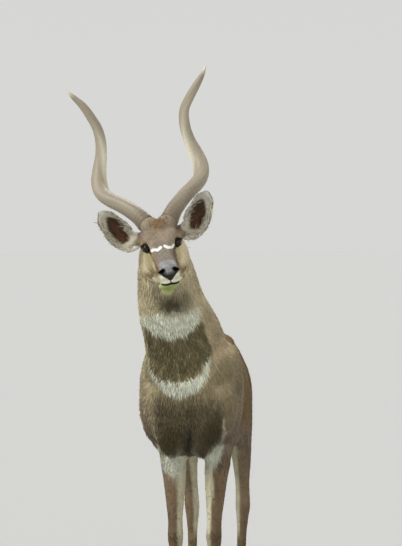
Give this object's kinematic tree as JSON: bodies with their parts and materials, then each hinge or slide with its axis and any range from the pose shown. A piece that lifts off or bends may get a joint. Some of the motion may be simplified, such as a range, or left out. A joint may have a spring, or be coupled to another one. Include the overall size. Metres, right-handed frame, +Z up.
{
  "type": "mountain nyala model",
  "caption": "Life-size standing mountain nyala bull, a still museum-type model with raised head, spiral horns, cupped ears, short dark crest and cloven hooves.",
  "frame": {"origin": "middle of the base of the whole outline's box, on the ground under the hooves", "axes": "+Z up, -Y the way the bull faces, +X its left side"},
  "size_m": [0.7268, 1.9126, 2.3994],
  "materials": {
    "coat": "short taupe-brown fur, greyer on the neck, rufous on the flank, with white marks",
    "horn": "grey-brown horn, paler keel, ivory tips",
    "eye": "glossy, very dark brown",
    "hoof": "dark grey, satin"
  },
  "bodies": {
    "root": {"ear_left": "coat", "ear_right": "coat", "eye_left": "eye", "eye_right": "eye", "foreleg_left": "coat", "foreleg_right": "coat", "head": "coat", "hindleg_left": "coat", "hindleg_right": "coat", "hoof_fore_left_inner": "hoof", "hoof_fore_left_outer": "hoof", "hoof_fore_right_inner": "hoof", "hoof_fore_right_outer": "hoof", "hoof_hind_left_inner": "hoof", "hoof_hind_left_outer": "hoof", "hoof_hind_right_inner": "hoof", "hoof_hind_right_outer": "hoof", "horn_left": "horn", "horn_right": "horn", "neck": "coat", "tail": "coat", "torso": "coat"}
  },
  "joints": []
}
